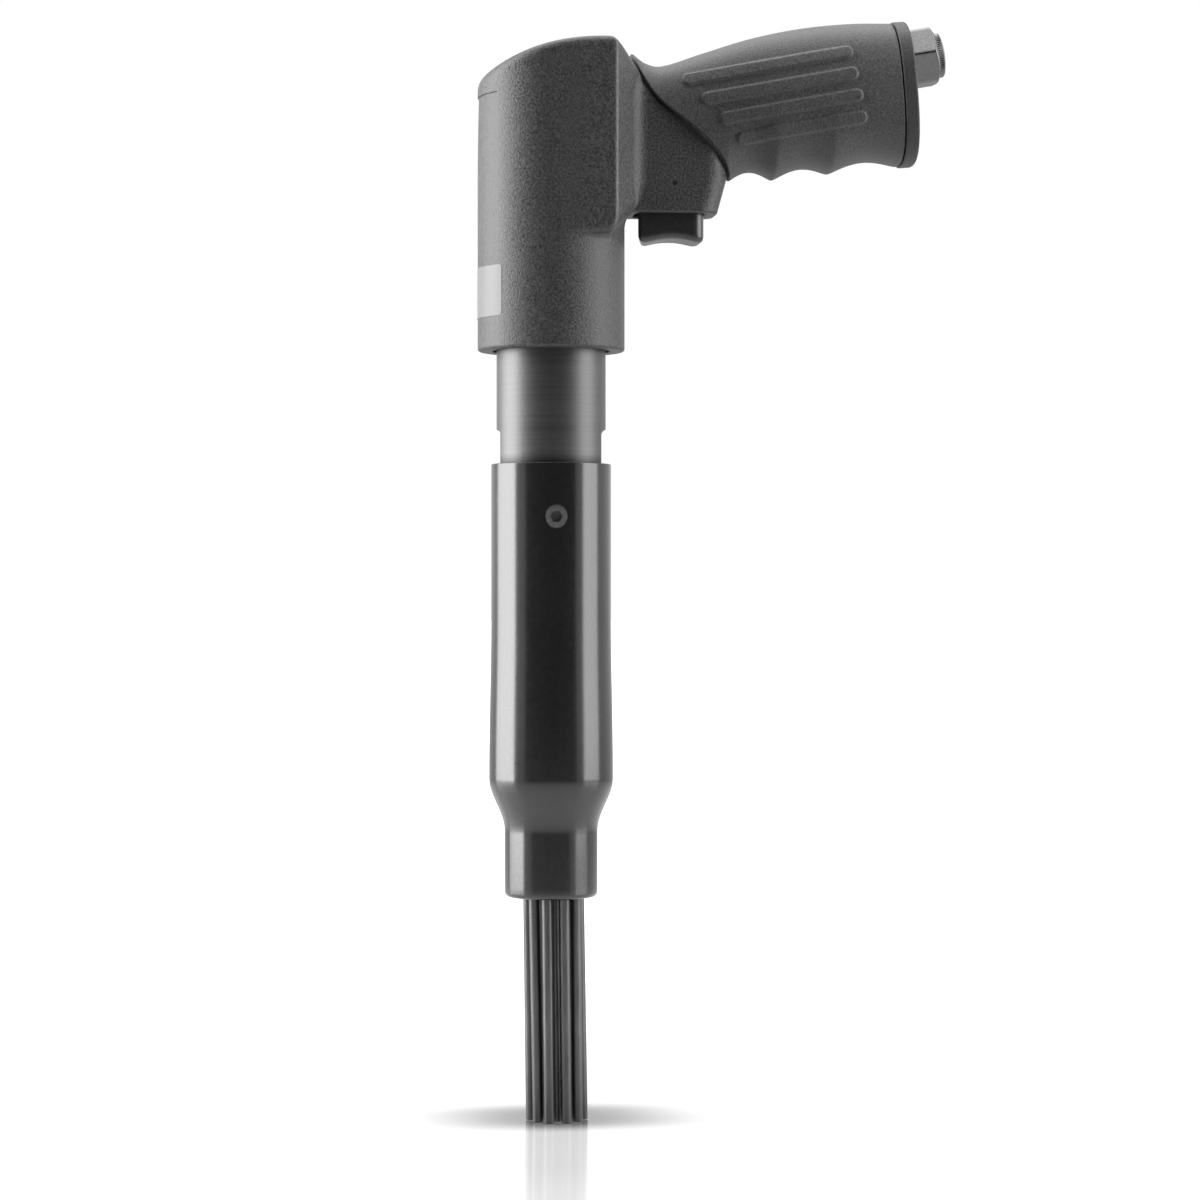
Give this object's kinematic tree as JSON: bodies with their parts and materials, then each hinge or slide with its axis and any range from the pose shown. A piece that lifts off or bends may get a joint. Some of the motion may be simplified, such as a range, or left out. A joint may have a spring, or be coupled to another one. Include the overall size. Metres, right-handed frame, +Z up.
{
  "type": "needle scaler",
  "caption": "Pistol-grip needle scaler driven by compressed air: cast body, ribbed rubber grip, finger trigger, long tube with a bundle of loose steel needles.",
  "frame": {"origin": "on the tool axis in the plane of the needle tips", "axes": "+Z up the tool axis from the needles to the body, +X towards the handle's end"},
  "size_m": [0.1752, 0.0546, 0.4088],
  "materials": {
    "casting": "matte",
    "grip_rubber": "matte",
    "cap_plastic": "matte",
    "plated_steel": "gloss",
    "seal_rubber": "matte",
    "felt": "matte",
    "trigger_black": "gloss",
    "hard_steel": "satin",
    "spring_steel": "satin",
    "brass": "satin",
    "barrel_steel": "satin",
    "tube_black": "gloss",
    "screw_black": "satin",
    "needle_steel": "satin"
  },
  "bodies": {
    "tool": {"housing": "casting", "grip_sleeve": "grip_rubber", "end_cap": "cap_plastic", "inlet_bushing": "plated_steel", "inlet_seal": "seal_rubber", "inlet_screen": "hard_steel", "exhaust_silencer": "felt", "trigger_pin": "hard_steel", "throttle_seat": "brass", "throttle_spring": "spring_steel", "barrel": "barrel_steel", "barrel_seal": "seal_rubber", "valve_seat": "hard_steel", "valve_cap": "hard_steel", "valve_gasket": "seal_rubber", "valve_dowel": "hard_steel", "anvil_bush": "brass", "buffer_ring": "seal_rubber", "needle_spring": "spring_steel", "needle_tube": "tube_black", "set_screws": "screw_black"},
    "trigger": {"trigger": "trigger_black"},
    "throttle_valve": {"throttle_valve": "hard_steel", "throttle_seal": "seal_rubber"},
    "valve_disc": {"valve_disc": "hard_steel"},
    "piston": {"piston": "hard_steel"},
    "anvil": {"anvil": "hard_steel"},
    "needle_holder": {"needle_holder": "hard_steel"},
    "needle_01": {"needle_01": "needle_steel"},
    "needle_02": {"needle_02": "needle_steel"},
    "needle_03": {"needle_03": "needle_steel"},
    "needle_04": {"needle_04": "needle_steel"},
    "needle_05": {"needle_05": "needle_steel"},
    "needle_06": {"needle_06": "needle_steel"},
    "needle_07": {"needle_07": "needle_steel"},
    "needle_08": {"needle_08": "needle_steel"},
    "needle_09": {"needle_09": "needle_steel"},
    "needle_10": {"needle_10": "needle_steel"},
    "needle_11": {"needle_11": "needle_steel"},
    "needle_12": {"needle_12": "needle_steel"}
  },
  "joints": [
    {"name": "trigger_slide", "type": "slide", "parent": "tool", "child": "trigger", "axis": [0, 0, 1], "range_m": [0, 0.006], "stiffness_N_per_m": 1200, "springref_m": -0.004},
    {"name": "throttle_valve_slide", "type": "slide", "parent": "tool", "child": "throttle_valve", "axis": [0, 0, 1], "range_m": [0, 0.006], "deforming": ["throttle_spring"]},
    {"name": "valve_disc_slide", "type": "slide", "parent": "tool", "child": "valve_disc", "axis": [0, 0, 1], "range_m": [0, 0.0008]},
    {"name": "piston_slide", "type": "slide", "parent": "tool", "child": "piston", "axis": [0, 0, 1], "range_m": [0, 0.045]},
    {"name": "holder_slide", "type": "slide", "parent": "tool", "child": "needle_holder", "axis": [0, 0, -1], "range_m": [0, 0.01], "stiffness_N_per_m": 2500, "springref_m": -0.006, "deforming": ["needle_spring"]},
    {"name": "anvil_slide", "type": "slide", "parent": "tool", "child": "anvil", "axis": [0, 0, -1], "range_m": [0, 0.01]},
    {"name": "needle_01_slide", "type": "slide", "parent": "needle_holder", "child": "needle_01", "axis": [0, 0, 1], "range_m": [0, 0.003]},
    {"name": "needle_02_slide", "type": "slide", "parent": "needle_holder", "child": "needle_02", "axis": [0, 0, 1], "range_m": [0, 0.003]},
    {"name": "needle_03_slide", "type": "slide", "parent": "needle_holder", "child": "needle_03", "axis": [0, 0, 1], "range_m": [0, 0.003]},
    {"name": "needle_04_slide", "type": "slide", "parent": "needle_holder", "child": "needle_04", "axis": [0, 0, 1], "range_m": [0, 0.003]},
    {"name": "needle_05_slide", "type": "slide", "parent": "needle_holder", "child": "needle_05", "axis": [0, 0, 1], "range_m": [0, 0.003]},
    {"name": "needle_06_slide", "type": "slide", "parent": "needle_holder", "child": "needle_06", "axis": [0, 0, 1], "range_m": [0, 0.003]},
    {"name": "needle_07_slide", "type": "slide", "parent": "needle_holder", "child": "needle_07", "axis": [0, 0, 1], "range_m": [0, 0.003]},
    {"name": "needle_08_slide", "type": "slide", "parent": "needle_holder", "child": "needle_08", "axis": [0, 0, 1], "range_m": [0, 0.003]},
    {"name": "needle_09_slide", "type": "slide", "parent": "needle_holder", "child": "needle_09", "axis": [0, 0, 1], "range_m": [0, 0.003]},
    {"name": "needle_10_slide", "type": "slide", "parent": "needle_holder", "child": "needle_10", "axis": [0, 0, 1], "range_m": [0, 0.003]},
    {"name": "needle_11_slide", "type": "slide", "parent": "needle_holder", "child": "needle_11", "axis": [0, 0, 1], "range_m": [0, 0.003]},
    {"name": "needle_12_slide", "type": "slide", "parent": "needle_holder", "child": "needle_12", "axis": [0, 0, 1], "range_m": [0, 0.003]}
  ],
  "couplings": [
    {"joint": "throttle_valve_slide", "follows": "trigger_slide", "ratio": 1},
    {"joint": "anvil_slide", "follows": "holder_slide", "ratio": 1}
  ]
}
